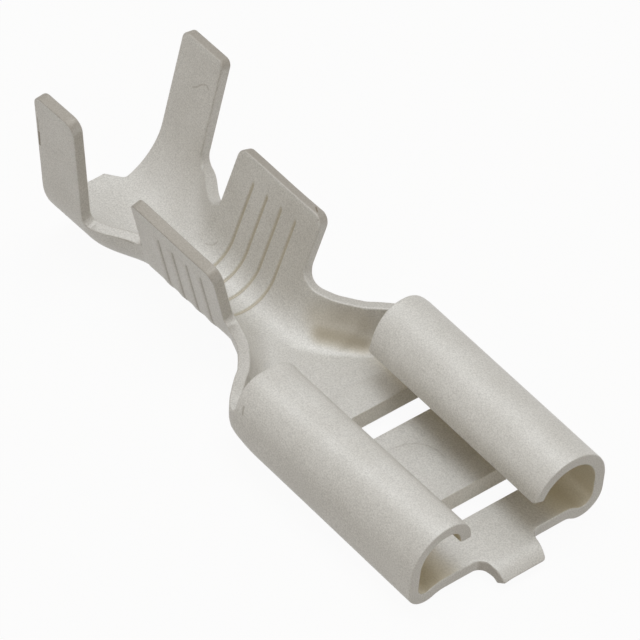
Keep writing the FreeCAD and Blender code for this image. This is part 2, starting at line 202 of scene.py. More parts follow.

# small marks of wear and of painted shade: strength, width, and the points each one runs
# through
WEAR_AND_SHADE_MARKS = [
    (0.30, 0.05, [(-14.66, 0.75, 0.77), (-14.53, 0.78, 0.79), (-14.43, 0.83, 0.84),
                  (-14.36, 0.95, 0.97)]),
    (0.30, 0.05, [(-17.71, 2.45, 4.01), (-17.53, 2.47, 4.14), (-17.39, 2.50, 4.32),
                  (-17.19, 2.52, 4.44), (-17.06, 2.50, 4.35)]),
    (0.95, 0.08, [(-11.59, 2.18, 3.81), (-11.39, 2.06, 3.85)]),
    (0.80, 0.05, [(-11.39, 2.06, 3.85), (-11.16, 1.93, 3.76)]),
    (0.70, 0.06, [(-13.18, 2.08, 3.86), (-13.09, 2.08, 3.86)]),
    (0.45, 0.08, [(-17.02, 2.92, 5.46), (-16.84, 2.88, 5.41)]),
    (0.45, 0.05, [(-18.52, -2.98, 4.95), (-18.51, -2.89, 4.35)]),
    (0.95, 0.07, [(-18.51, -2.89, 4.35), (-18.53, -2.80, 3.80)]),
    (0.35, 0.06, [(-7.68, -3.70, 1.96), (-7.60, -3.79, 1.76)]),
    # painted shade along the rim of the gap on the near side
    (0.32, 0.05, [(-15.99, -2.14, 1.70), (-15.80, -2.02, 1.70), (-15.63, -1.90, 1.70),
                  (-15.43, -1.79, 1.68), (-15.22, -1.71, 1.66)]),
    # painted shade along the floor's bend line
    (0.06, 0.12, [(-7.77, 0.19, 0.38), (-7.50, 1.92, 0.38)]),
    # painted shade along the far edge of the pressed ring
    (0.18, 0.05, [(RING_X + RING_RADIUS * math.cos(math.radians(a)),
                   RING_RADIUS * math.sin(math.radians(a)), 0.385)
                  for a in range(80, 181, 20)])]

# painted shade inside the neck on the far side: strength, width, and two ends as (x, s)
NECK_SHADE_PATCHES = ((0.50, 0.55, (-9.75, 1.30), (-8.80, 2.05)),
          (0.24, 0.85, (-10.0, 1.60), (-9.1, 2.40)))

# outline of each side: half width of the tongue, and the rounds of its corners; wings
# have one for their front and one for their rear corner
FAR_OUTLINE = dict(tip=0.79, tip_round=0.10, mouth_round=0.15, root_round=0.66,
                   wire_round=(0.36, 0.28), grip_round=(0.24, 0.25))
NEAR_OUTLINE = dict(tip=0.83, tip_round=0.07, mouth_round=0.07, root_round=0.25,
                    wire_round=(0.36, 0.26), grip_round=(0.40, 0.36))

# outline of both sides: the edge beside the tongue's root, the rounds of the rolled
# lip and its rear rim, of the gap's ends and of the tail, and the tail's half widths
TONGUE_ROOT = ((0.25, 0.94), (0.02, 0.98), (0.0, 1.25))
LIP_ROUND, RIM_ROUND = 0.16, 0.14
GAP_ROUNDS = (0.32, 0.34)
TAIL_ROUNDS = (0.06, 0.05)
TAIL_HALVES = (0.97, 0.88, 0.52)
TAIL_STEP = 0.06

# half width at the neck edge against x, outer face
NECK_X = np.array([-11.6, -11.05, -10.58, -10.08, -9.65, -9.29, -9.0, -8.7, -8.4,
                   -8.1, -7.8, -7.4])
NECK_W = np.array([1.605, 1.622, 1.743, 1.925, 2.225, 2.55, 2.91, 3.25, 3.54,
                   3.735, 3.795, 3.8])


def smooth(t):
    t = np.clip(t, 0.0, 1.0)
    return t * t * (3 - 2 * t)


def mix(a, b, t):
    return a + (b - a) * t


def spline(x, xs, ys):
    """Smooth curve through the given points, without overshoot."""
    step = np.diff(xs)
    rise = np.diff(ys) / step
    slope = np.zeros(len(xs))
    slope[0], slope[-1] = rise[0], rise[-1]
    both = rise[:-1] * rise[1:] > 0
    slope[1:-1][both] = 2 * rise[:-1][both] * rise[1:][both] / (rise[:-1] + rise[1:])[both]
    x = np.clip(x, xs[0], xs[-1])
    i = np.clip(np.searchsorted(xs, x) - 1, 0, len(xs) - 2)
    t = (x - xs[i]) / step[i]
    a, b = ys[i], ys[i + 1]
    return (a * (1 + 2 * t) * (1 - t) ** 2 + b * t * t * (3 - 2 * t)
            + step[i] * (slope[i] * t * (1 - t) ** 2 - slope[i + 1] * t * t * (1 - t)))


# How each side is rolled. Pairs hold for the mouth and for the rear, radii lie on the
# middle line, and angles are degrees. At the mouth the floor first drops by an eased
# bend, so that the corner starts below it, then come corner, shoulder, crown and lip.
FAR = dict(spread=(-0.01, 0.02), top=ROLL_TOP - 0.03, ease=0.60, drop=35,
           corner=(0.58, 1.25), widen=0.0, neck_radius=1.72, shoulder=(1.23, 0.80),
           crown=(0.02, 0.10), lip_radius=1.25, lip=(75, 80), lip_end=0.0)
NEAR = dict(spread=(-0.04, 0.06), top=ROLL_TOP, ease=1.20, drop=25,
            corner=(0.50, 0.95), widen=0.18, neck_radius=1.20, shoulder=(1.10, 0.93),
            crown=(0.08, 0.50), lip_radius=0.68, lip=(88, 88), lip_end=0.10)


def rolled_section(x, side):
    """Runs and turns of a rolled side's middle line."""
    q = np.clip(-x / -ROLL_END, 0.0, 1.0)
    half = WIDTH / 2 - HALF + mix(*side["spread"], q)
    trim = WIDTH / 2 - np.where(x >= ROLL_END, spline(x, NECK_X, NECK_W), WIDTH / 2)
    drop = math.radians(side["drop"]) * (1 - q)
    plain = side["ease"] * math.radians(side["drop"])
    ease = plain / np.maximum(drop, 1e-4)
    corner = mix(*side["corner"], q) + side["widen"] * smooth((q - 0.87) / 0.13)
    shoulder = mix(*side["shoulder"], q)
    step = np.where(drop > 1e-4, ease * np.sin(drop), plain)
    flat = half - step - corner * (1 + np.sin(drop)) - trim
    knee = HALF - ease * (1 - np.cos(drop)) + corner * np.cos(drop)
    upright = np.maximum(side["top"] - HALF - shoulder - knee, 0.01)
    lip = np.radians(mix(*side["lip"], q))
    zero = np.zeros_like(x)
    runs = [flat, zero + plain, corner * (drop + QUARTER), upright, shoulder * QUARTER,
            mix(*side["crown"], q), side["lip_radius"] * lip, zero + FAR_OUT]
    turns = [zero, -drop, drop + QUARTER, zero, zero + QUARTER, zero, lip, zero]
    return runs, turns


def open_section(x, side):
    """Runs and turns of the open trough behind the rolls, and how far it is lifted."""
    ahead = x > WIRE_REAR
    u = np.clip((x - WIRE_FRONT) / (ROLL_END - WIRE_FRONT), 0, 1)
    swell = smooth((WIRE_REAR - 0.03 - x) / (WIRE_REAR - GRIP_FRONT - 0.06))
    lean = np.radians(np.where(ahead, WIRE_LEAN * (1 - smooth(u * 1.05)),
                               mix(WIRE_LEAN, GRIP_LEAN, swell)))
    end_corner = side["corner"][1] + side["widen"]
    neck = mix(side["neck_radius"], end_corner, smooth((u - 0.88) / 0.12))
    radius = np.where(ahead, mix(WIRE_RADIUS, neck, smooth(u / 0.4)),
                      mix(WIRE_RADIUS, GRIP_RADIUS, swell))
    rise = NECK_RISE + BARREL_RISE * smooth((-12.0 - x) / 2.8)
    lift = np.where(ahead, rise * (1 - u) ** 2, rise * (1 - swell))
    wide = spline(x, NECK_X, NECK_W) + side["spread"][1] * smooth(u)
    slope = (spline(x + 0.02, NECK_X, NECK_W) - spline(x - 0.02, NECK_X, NECK_W)) / 0.04
    through = HALF * np.sqrt(1 + slope ** 2) / np.cos(lean)
    bend_z = lift + HALF + radius * (1 - np.sin(lean))
    reach = radius * np.cos(lean) + (NECK_EDGE - bend_z) * np.tan(lean)
    floor = np.where(ahead, np.maximum(wide - through - reach, LEAST_FLOOR),
                     mix(WIRE_FLOOR, GRIP_FLOOR, swell))
    turn = QUARTER - lean
    zero = np.zeros_like(x)
    runs = [floor, zero, radius * turn, zero + FAR_OUT, zero, zero, zero, zero]
    turns = [zero, zero, turn, zero, zero, zero, zero, zero]
    return runs, turns, lift


def section(x, near):
    """Runs and turns of the sheet's middle line at x, and its height in the middle."""
    x = np.asarray(x, float)
    side = NEAR if near else FAR
    rolled = x >= ROLL_END
    rolled_runs, rolled_turns = rolled_section(x, side)
    open_runs, open_turns, lift = open_section(x, side)
    runs = [np.where(rolled, a, b) for a, b in zip(rolled_runs, open_runs)]
    turns = [np.where(rolled, a, b) for a, b in zip(rolled_turns, open_turns)]
    return runs, turns, np.where(rolled, HALF, HALF + lift)


def follow(x, s, near):
    """Y and Z on the middle line, a way s out from the middle plane (one side)."""
    runs, turns, z = section(x, near)
    left = np.array(s, float)
    y = np.zeros_like(left)
    z = z + np.zeros_like(left)
    heading = np.zeros_like(left)
    for run, turn in zip(runs, turns):
        step = np.clip(left, 0.0, run)
        bend = np.where(run > 1e-9, turn / np.maximum(run, 1e-9), 0.0) * step
        half = bend / 2
        chord = step * np.sinc(half / math.pi)
        y += chord * np.cos(heading + half)
        z += chord * np.sin(heading + half)
        heading += bend
        left = left - step
    return y, z


def folded(x, s):
    """Points of the folded middle surface."""
    x = np.asarray(x, float)
    s = np.asarray(s, float)
    at = np.minimum(x, 0.0)
    far_y, far_z = follow(at, np.abs(s), False)
    near_y, near_z = follow(at, np.abs(s), True)
    y = np.where(s >= 0, far_y, -near_y)
    z = np.where(s >= 0, far_z, near_z)
    bend = np.maximum(x - TONGUE_FLAT, 0.0) / TONGUE_RADIUS
    px = np.where(x > TONGUE_FLAT, TONGUE_FLAT + TONGUE_RADIUS * np.sin(bend), x)
    pz = z - TONGUE_RADIUS * (1 - np.cos(bend))
    pz -= 0.035 * smooth((-s - 0.5) / 0.3) * smooth((x - 0.55) / 0.3)
    return np.stack([px, y, pz], 1)


def surface(x, s):
    """Points and upward normals; every bend is eased a little along the section."""
    soft = 0.05

    def eased(a, b):
        return (folded(a, b - soft) + 2 * folded(a, b) + folded(a, b + soft)) / 4

    e = 0.01
    point = eased(x, s)
    along = eased(x + e, s) - eased(x - e, s)
    across = eased(x, s + e) - eased(x, s - e)
    normal = np.cross(along, across)
    normal /= np.linalg.norm(normal, axis=1)[:, None]
    return point, normal


def way_to(x, height, near):
    """Way s at which the middle line at x first reaches a height."""
    s = np.linspace(0, MOST_WAY, 1601)
    z = follow(np.full_like(s, x), s, near)[1]
    above = np.nonzero(z >= height)[0]
    if not len(above):
        return MOST_WAY
    i = max(above[0], 1)
    return float(np.interp(height, z[i - 1:i + 1], s[i - 1:i + 1]))


# the way out at which the grooves end
GROOVE_WAY = way_to(-12.5, GROOVE_TOP, False)


def lip_way(x, near):
    """Way s of the rolled lip's edge."""
    runs = section(np.array([float(x)]), near)[0]
    return float(sum(r[0] for r in runs[:7])) + (NEAR if near else FAR)["lip_end"]


def line(*points):
    return np.array(points, float)


def cut(path, head, tail):
    """The path with a length taken off its head and its tail."""
    step = np.r_[0, np.cumsum(np.linalg.norm(np.diff(path, axis=0), axis=1))]
    total = step[-1]
    head = min(head, total * 0.48)
    tail = min(tail, total * 0.48)
    inside = path[(step > head + 1e-6) & (step < total - tail - 1e-6)]
    ends = [[np.interp(v, step, path[:, k]) for k in (0, 1)] for v in (head, total - tail)]
    return np.vstack([ends[0], inside, ends[1]])


def arc(a, corner, b, count):
    """Round corner between a and b as a conic."""
    t = np.linspace(0, 1, count)[:, None]
    w = 0.72
    low = (1 - t) ** 2 + 2 * w * t * (1 - t) + t ** 2
    return ((1 - t) ** 2 * a + 2 * w * t * (1 - t) * corner + t ** 2 * b) / low


def joined(paths, radii):
    """Paths end to end, with a round of the given reach at each joint."""
    out = []
    for i, path in enumerate(paths):
        head = radii[i - 1] if i else 0.0
        tail = radii[i] if i < len(radii) else 0.0
        piece = cut(path, head, tail)
        if out and radii[i - 1] > 0:
            count = max(5, int(radii[i - 1] / 0.03) + 3)
            out.append(arc(out[-1][-1], path[0], piece[0], count)[1:-1])
        out.append(piece)
    return np.vstack(out)


def spaced(path, gap, closed=False):
    """Points along a path no further apart than the gap, corners kept."""
    if closed:
        path = np.vstack([path, path[:1]])
    out = []
    for a, b in zip(path[:-1], path[1:]):
        length = np.linalg.norm(b - a)
        if length < 1e-5:
            continue
        count = math.ceil(length / gap)
        out.append(a + (b - a) * (np.arange(count) / count)[:, None])
    if not closed:
        out.append(path[-1:])
    pts = np.vstack(out)
    keep = np.r_[True, np.linalg.norm(np.diff(pts, axis=0), axis=1) > 0.012]
    return pts[keep]


def tip_ways(near):
    """Way out to the four top corners of the wings on one side."""
    sink = HALF * math.sin(math.radians(WIRE_LEAN))
    return (way_to(WIRE_FRONT, WIRE_TOP[near][0] + sink, near),
            way_to(WIRE_REAR + 0.001, WIRE_TOP[near][1] + sink, near),
            way_to(GRIP_FRONT, GRIP_TOP[near][0] + GRIP_SINK, near),
            way_to(GRIP_REAR, GRIP_TOP[near][1] + GRIP_SINK, near))


def rim_x(z):
    """X of a roll's slanting rear rim at a height."""
    return ROLL_END + 0.25 * np.clip((ROLL_TOP - HALF - z) / 0.85, 0, 1.05)


def half_outline(near):
    """One side of the blank, from the tongue round to the tail, as (x, way out)."""
    shape = NEAR_OUTLINE if near else FAR_OUTLINE
    sink = HALF * math.sin(math.radians(WIRE_LEAN))
    lip_x = np.linspace(0, ROLL_END + 0.2, 60)
    lip = np.stack([lip_x, [lip_way(x, near) for x in lip_x]], 1)
    foot = way_to(ROLL_END + 0.24, NECK_EDGE, near)
    ways = np.linspace(lip[-1, 1], foot, 60)
    heights = follow(np.full_like(ways, ROLL_END + 0.1), ways, near)[1]
    rim = np.stack([rim_x(heights), ways], 1)
    neck_x = np.linspace(rim[-1, 0], WIRE_FRONT, 80)
    neck_edge = NECK_EDGE + sink * smooth((ROLL_END - neck_x) / 2.5)
    neck = np.stack([neck_x, [way_to(*at, near) for at in zip(neck_x, neck_edge)]], 1)
    wire_front, wire_rear, grip_front, grip_rear = tip_ways(near)
    gap_x = np.linspace(WIRE_REAR, GRIP_FRONT, 40)
    gap = np.stack([gap_x, [way_to(x, GAP_EDGE + GAP_SINK, near) for x in gap_x]], 1)
    ear, root, mouth = line(*TONGUE_ROOT)
    wide, narrow, end = TAIL_HALVES
    start, tip = (TONGUE_END, 0.0), (TONGUE_END, shape["tip"])

    # each path with the round that follows it
    route = [(line(start, tip), shape["tip_round"]),
             (line(tip, ear), 0.0),
             (arc(ear, root, mouth, 10), 0.0),
             (line(mouth, lip[0]), shape["mouth_round"]),
             (lip, LIP_ROUND),
             (rim, RIM_ROUND),
             (neck, shape["root_round"]),
             (line(neck[-1], (WIRE_FRONT, wire_front)), shape["wire_round"][0]),
             (line((WIRE_FRONT, wire_front), (WIRE_REAR, wire_rear)),
              shape["wire_round"][1]),
             (line((WIRE_REAR, wire_rear), gap[0]), GAP_ROUNDS[0]),
             (gap, GAP_ROUNDS[1]),
             (line(gap[-1], (GRIP_FRONT, grip_front)), shape["grip_round"][0]),
             (line((GRIP_FRONT, grip_front), (GRIP_REAR, grip_rear)),
              shape["grip_round"][1]),
             (line((GRIP_REAR, grip_rear), (GRIP_REAR, wide)), TAIL_ROUNDS[0]),
             (line((GRIP_REAR, wide), (GRIP_REAR - TAIL_STEP, narrow)), 0.0),
             (line((GRIP_REAR - TAIL_STEP, narrow), (TAIL_END, end)), TAIL_ROUNDS[1]),
             (line((TAIL_END, end), (TAIL_END, 0.0)), None)]
    paths, radii = zip(*route)
    return joined(paths, radii[:-1])


def outlines():
    """Closed outline of the blank and its two slots, as loops of (x, s)."""
    far = half_outline(False)
    near = half_outline(True)
    near[:, 1] *= -1
    outer = np.vstack([far[:-1], near[::-1][:-1]])
    loops = [spaced(outer, RIM_GAP, True)]
    for front, rear in SLOTS:
        corners = line((front, -SLOT_HALF), (front, SLOT_HALF), (rear, SLOT_HALF),
                       (rear, -SLOT_HALF))
        sides = [line(corners[i], corners[(i + 1) % 4]) for i in range(4)]
        loops.append(spaced(joined(sides, [SLOT_ROUND] * 3), RIM_GAP, True))
    return loops


def area_sign(loop):
    x, y = loop.T
    return np.sign(np.sum(x * np.roll(y, -1) - np.roll(x, -1) * y))


def inset(loop, amount, hole):
    """The loop moved into the metal by an amount."""
    ahead = np.roll(loop, -1, 0) - loop
    behind = loop - np.roll(loop, 1, 0)
    ahead /= np.linalg.norm(ahead, axis=1)[:, None]
    behind /= np.linalg.norm(behind, axis=1)[:, None]
    t = ahead + behind
    t /= np.linalg.norm(t, axis=1)[:, None]
    into = np.stack([-t[:, 1], t[:, 0]], 1) * area_sign(loop)
    if hole:
        into = -into
    return loop + into * amount


def in_loop(points, loop):
    """Which points lie inside a closed loop."""
    x, y = points[:, 0][:, None], points[:, 1][:, None]
    ax, ay = loop[:, 0][None], loop[:, 1][None]
    bx, by = np.roll(ax, -1, 1), np.roll(ay, -1, 1)
    span = (ay > y) != (by > y)
    with np.errstate(divide="ignore", invalid="ignore"):
        cross = ax + (y - ay) * (bx - ax) / (by - ay)
    return (np.sum(span & (x < cross), axis=1) % 2) == 1


def station_lines():
    """Values of x where the skin has a row of points, closer where it bends."""
    rows = []

    def fill(stops):
        for (a, gap), (b, _) in zip(stops[:-1], stops[1:]):
            count = max(1, int(round(abs(b - a) / gap)))
            rows.extend(a + (b - a) * np.arange(count) / count)

    fill(ROWS_AHEAD)
    last = ROWS_AHEAD[-1]
    for groove in sorted(GROOVES, reverse=True):
        fill([last, (groove + GROOVE_ROWS[0], None)])
        rows.extend(groove + d for d in GROOVE_ROWS)
        last = (groove - GROOVE_BEHIND, last[1])
    fill([last, *ROWS_BEHIND, (TAIL_END, None)])
    rows.append(TAIL_END)
    return np.array(sorted(set(np.round(rows, 4))))


def in_metal(points, rings):
    """Which points lie inside the outline and outside the slots."""
    inside = in_loop(points, rings[0])
    for ring in rings[1:]:
        inside &= ~in_loop(points, ring)
    return inside


def far_from(points, ring, least):
    """Which points keep a distance from a closed ring."""
    clear = np.ones(len(points), bool)
    a = ring[None]
    run = (np.roll(ring, -1, 0) - ring)[None]
    for low in range(0, len(points), 2000):
        p = points[low:low + 2000, None]
        share = np.clip(((p - a) * run).sum(2) / (run ** 2).sum(2), 0, 1)
        gap = np.linalg.norm(p - a - run * share[..., None], axis=2).min(1)
        clear[low:low + 2000] = gap > least
    return clear


def inner_points(rings, rows, warped):
    """Grid of points inside the rings, none of them close to a rim."""
    ways = np.arange(-WAY_STEPS, WAY_STEPS + 1) * WAY_GAP
    grid = np.stack(np.meshgrid(rows, ways, indexing="ij"), 2).reshape(-1, 2)
    grid = grid[in_metal(grid, rings)]
    flat = warped(grid)
    clear = np.ones(len(grid), bool)
    for ring in rings:
        clear &= far_from(flat, warped(ring), RIM_CLEAR)
    grid = grid[clear]
    for front, rear in SLOTS:
        beside = (np.abs(grid[:, 1]) < SLOT_HALF + 0.1) & (grid[:, 0] < rear)
        grid = grid[~(beside & (grid[:, 0] > rear - SLOT_CLEAR))]
    return grid


def skin(loops):
    """Triangles that fill the outline: points (x, s), triangles, and boundary loops."""
    rows = station_lines()
    rings = [inset(loop, EDGE, number > 0) for number, loop in enumerate(loops)]

    def warped(p):
        row = np.interp(p[:, 0], rows, np.arange(len(rows)))
        return np.stack([row, p[:, 1] / WAY_GAP], 1)

    points = np.vstack(rings + [inner_points(rings, rows, warped)])
    edges = []
    rims = []
    start = 0
    for ring in rings:
        at = np.arange(start, start + len(ring))
        rims.append(at)
        edges += [(int(i), int(j)) for i, j in zip(at, np.roll(at, -1))]
        start += len(ring)
    found = delaunay_2d_cdt([Vector(p) for p in warped(points)], edges, [], 0, 1e-7, True)

    # back from rows and gaps to (x, s), with the given points as they were
    spots, origins = np.array([tuple(v) for v in found[0]]), found[3]
    x = np.interp(spots[:, 0], np.arange(len(rows)), rows)
    full = np.stack([x, spots[:, 1] * WAY_GAP], 1)
    index = {}
    for new, olds in enumerate(origins):
        index.update((old, new) for old in olds)
        if olds:
            full[new] = points[olds[0]]
    rims = [np.array([index[i] for i in at]) for at in rims]

    tris = np.array([f for f in found[2] if len(f) == 3])
    tris = tris[in_metal(full[tris].mean(1), rings)]
    a, b, c = (full[tris[:, k]] for k in range(3))
    turned = ((b - a)[:, 0] * (c - a)[:, 1] - (b - a)[:, 1] * (c - a)[:, 0]) < 0
    tris[turned] = tris[turned][:, ::-1]
    return full, without_strays(tris, rims, len(full)), rims


def without_strays(tris, rims, count):
    """Triangles without the slivers that hang outside the rims."""

    def edge_code(a, b):
        return np.minimum(a, b) * count + np.maximum(a, b)

    rim = np.concatenate([edge_code(at, np.roll(at, -1)) for at in rims])
    while True:
        sides = edge_code(tris, np.roll(tris, -1, 1))
        values, uses = np.unique(sides, return_counts=True)
        single = uses[np.searchsorted(values, sides)] == 1
        stray = (single & ~np.isin(sides, rim)).any(1)
        if not stray.any():
            return tris
        tris = tris[~stray]


def relief(x, s, point, inner):
    """Height of the small pressed features above the inner or outer face."""
    out = np.zeros(len(x))
    wall = smooth((GROOVE_WAY - np.abs(s)) / 0.15)
    for groove in GROOVES:
        d = np.abs(x - groove)
        if inner:
            out -= GROOVE_DEPTH * (1 - smooth((d - GROOVE_HALF) / GROOVE_SLOPE)) * wall
        else:
            crease = np.abs(x - groove - CREASE_SHIFT)
            out += RIDGE_HEIGHT * np.exp(-(d / RIDGE_WIDTH) ** 2) * wall
            out -= CREASE_DEPTH * (1 - smooth(crease / CREASE_WIDTH)) * wall
    if inner:
        y = point[:, 1]
        ring = smooth((RING_RADIUS - np.hypot(x - RING_X, y)) / 0.12)
        bend = np.exp(-((x - BEND_X) / BEND_WIDTH) ** 2)
        out += RING_HEIGHT * ring * (np.abs(y) < 1.5)
        out -= BEND_DEPTH * bend * smooth((2.6 - np.abs(s)) / 0.5)
    return out


def lined(x, s, shift, core, soft):
    """1 along the grooves, or beside them by a shift, fading to 0 around them."""
    wall = smooth((GROOVE_WAY - np.abs(s)) / 0.12)
    near = [1 - smooth((np.abs(x - g - shift) - core) / soft) for g in GROOVES]
    return np.max(near, axis=0) * wall


def neck_shade(x, s):
    """Strength of the painted shade patches inside the neck."""
    out = np.zeros(len(x))
    for strength, width, a, b in NECK_SHADE_PATCHES:
        a, run = np.array(a), np.array(b) - a
        away = np.stack([x, s], 1) - a
        share = np.clip(away @ run / (run @ run), 0, 1)
        gap = np.linalg.norm(away - share[:, None] * run, axis=1)
        out = np.maximum(out, strength * smooth(1 - gap / width))
    return out


def painted_shade_amount(x, s, inner):
    """Painted shade towards brown, 0 to 1: in the grooves and the neck, or in the creases.
    """
    if not inner:
        return CREASE_SHADE * lined(x, s, CREASE_SHIFT, 0.01, 0.06)
    return np.maximum(GROOVE_SHADE * lined(x, s, 0, 0.02, 0.05), neck_shade(x, s))


def painted_bounce_amount(x, s, inner):
    """Painted warm bounce light, 0 to 1: inside the rolls, the grooves and the neck's
    patches.
    """
    if not inner:
        return np.zeros(len(x))
    recess = RECESS_BOUNCE * smooth((np.abs(s) - 1.5) / 1.0) * smooth((x + 8.6) / 0.8)
    grooves = GROOVE_BOUNCE * lined(x, s, 0, 0.02, 0.05)
    return np.max([recess, grooves, NECK_PATCH_BOUNCE * neck_shade(x, s)], axis=0)


def cut_edge_shade(loop):
    """Painted shade towards brown on the cut edge along the outline, most at the wing
    tips.
    """
    x, s = loop.T
    out = TONGUE_EDGE_SHADE * smooth((x - 0.01) / 0.05)
    out += RIM_EDGE_SHADE * smooth((-8.3 - x) / 0.5)
    out = np.maximum(out, MOUTH_EDGE_SHADE * smooth((x + 0.2) / 0.15))
    for near in (False, True):
        wire_front, wire_rear, grip_front, grip_rear = tip_ways(near)
        side = (s < 0) == near
        for front, rear, top in ((WIRE_FRONT, WIRE_REAR, min(wire_front, wire_rear)),
                                 (GRIP_FRONT, GRIP_REAR, min(grip_front, grip_rear))):
            here = side & (x <= front + 0.01) & (x >= rear - 0.01)
            tip = smooth((np.abs(s) - top + 0.35) / 0.3)
            out = np.where(here, mix(WING_EDGE_SHADE, TIP_EDGE_SHADE, tip), out)
    return out


def edge_layers(top, low, away, normal, share):
    """Rows of points round a cut edge from the top to the low face, with their turn."""
    angles = np.linspace(0, QUARTER, EDGE_STEPS + 1)[1:]
    layers = []
    for a in angles:
        drop = EDGE_TOP * (1 - math.cos(a)) * share
        layers.append((top + away * math.sin(a) - normal * drop, math.sin(a)))
    for a in angles[::-1]:
        drop = EDGE_LOW * (1 - math.cos(a)) * share
        layers.append((low + away * math.sin(a) + normal * drop, math.sin(a)))
    return layers


def build_terminal():
    """The sheet as one closed skin: two faces, joined all round by the cut edges."""
    loops = outlines()
    flat, tris, rims = skin(loops)
    x, s = flat.T
    point, normal = surface(x, s)
    lift_in = relief(x, s, point, True)
    lift_out = relief(x, s, point, False)
    top = point + normal * (HALF + lift_in)[:, None]
    low = point - normal * (HALF + lift_out)[:, None]
    count = len(flat)
    total = 2 * count
    verts = [top, low]
    # painted shade and painted warm bounce light, kept as values on the points
    brown = [painted_shade_amount(x, s, True), painted_shade_amount(x, s, False)]
    warm = [painted_bounce_amount(x, s, True), painted_bounce_amount(x, s, False)]
    quads = []
    for number, (loop, ring) in enumerate(zip(loops, rims)):
        if number:
            rear = loop[:, 0] < SLOTS[number - 1][1] + 0.03
            shift = np.where(rear, SLOT_LEAN, 0.0)[:, None] * np.array([[1.0, 0, 0]])
            top[ring] -= shift
            low[ring] += shift
        away = surface(loop[:, 0], loop[:, 1])[0] - point[ring]
        thick = SHEET + lift_in[ring] + lift_out[ring]
        share = np.clip(thick / 0.2, 0.3, 1.0)[:, None]
        # painted shade on the cut faces, growing as they turn away from the top face
        tone = cut_edge_shade(loop)
        rows = [ring]
        for layer, turn in edge_layers(top[ring], low[ring], away, normal[ring], share):
            verts.append(layer)
            brown.append(tone * turn)
            warm.append(np.full(len(ring), SLOT_BOUNCE if number else 0.0))
            rows.append(np.arange(total, total + len(ring)))
            total += len(ring)
        rows.append(ring + count)
        outward = area_sign(loop) * (-1 if number else 1) > 0
        for upper, lower in zip(rows[:-1], rows[1:]):
            quad = np.stack([upper, lower, np.roll(lower, -1), np.roll(upper, -1)], 1)
            quads.append(quad if outward else quad[:, ::-1])
    faces = tris.tolist() + (tris[:, ::-1] + count).tolist()
    faces += np.vstack(quads).tolist()
    mesh = bpy.data.meshes.new("terminal_skin")
    mesh.from_pydata((np.vstack(verts) * 0.001).tolist(), [], faces)
    mesh.validate()
    mesh.polygons.foreach_set("use_smooth", np.ones(len(mesh.polygons), bool))
    weight_normals(mesh)
    for name, values in (("painted_shade_amount", brown), ("painted_bounce_amount", warm)):
        layer = mesh.attributes.new(name, "FLOAT", "POINT")
        layer.data.foreach_set("value", np.concatenate(values).astype(np.float32))
    piece = bpy.data.objects.new("terminal_skin", mesh)
    bpy.context.scene.collection.objects.link(piece)
    return piece


def weight_normals(mesh):
    """Shading normals that lean on the large faces, so flat stretches stay flat."""
    count = len(mesh.vertices)
    normal = np.zeros((count, 3))
    area = np.zeros(len(mesh.polygons))
    direction = np.zeros(len(mesh.polygons) * 3)
    mesh.polygons.foreach_get("area", area)
    mesh.polygons.foreach_get("normal", direction)
    direction = direction.reshape(-1, 3)
    corner = np.zeros(len(mesh.loops), int)
    mesh.loops.foreach_get("vertex_index", corner)
    sizes = np.zeros(len(mesh.polygons), int)
    mesh.polygons.foreach_get("loop_total", sizes)
    face = np.repeat(np.arange(len(sizes)), sizes)
    np.add.at(normal, corner, (direction * area[:, None])[face])
    normal /= np.maximum(np.linalg.norm(normal, axis=1), 1e-20)[:, None]
    mesh.normals_split_custom_set_from_vertices(normal.tolist())


def feed(links, socket, value):
    """Link a socket to another one, or give it a plain value."""
    if isinstance(value, bpy.types.NodeSocket):
        links.new(value, socket)
    else:
        socket.default_value = value


def maths(nodes, links, operation, *values):
    """Output of a maths node."""
    node = nodes.new("ShaderNodeMath")
    node.operation = operation
    for socket, value in zip(node.inputs, values):
        feed(links, socket, value)
    return node.outputs["Value"]


def blend(nodes, links, factor, a, b, kind="RGBA", way="MIX"):
    """Output of a node that mixes two colours or two numbers."""
    node = nodes.new("ShaderNodeMix")
    node.data_type = kind
    node.blend_type = way
    for name, value in (("Factor", factor), ("A", a), ("B", b)):
        feed(links, node.inputs[name], value)
    return node.outputs["Result"]


def ranged(nodes, links, value, low, high, start, end):
    """Map range node from low and high to start and end."""
    node = nodes.new("ShaderNodeMapRange")
    for name, given in (("Value", value), ("From Min", low), ("From Max", high),
                        ("To Min", start), ("To Max", end)):
        feed(links, node.inputs[name], given)
    return node


def noise(nodes, links, place, scale, detail):
    node = nodes.new("ShaderNodeTexNoise")
    node.inputs["Scale"].default_value = scale
    node.inputs["Detail"].default_value = detail
    links.new(place, node.inputs["Vector"])
    return node.outputs["Fac"]


def painted(nodes, name):
    """Output that reads one of the mesh's own values."""
    node = nodes.new("ShaderNodeAttribute")
    node.attribute_name = name
    return node.outputs["Fac"]


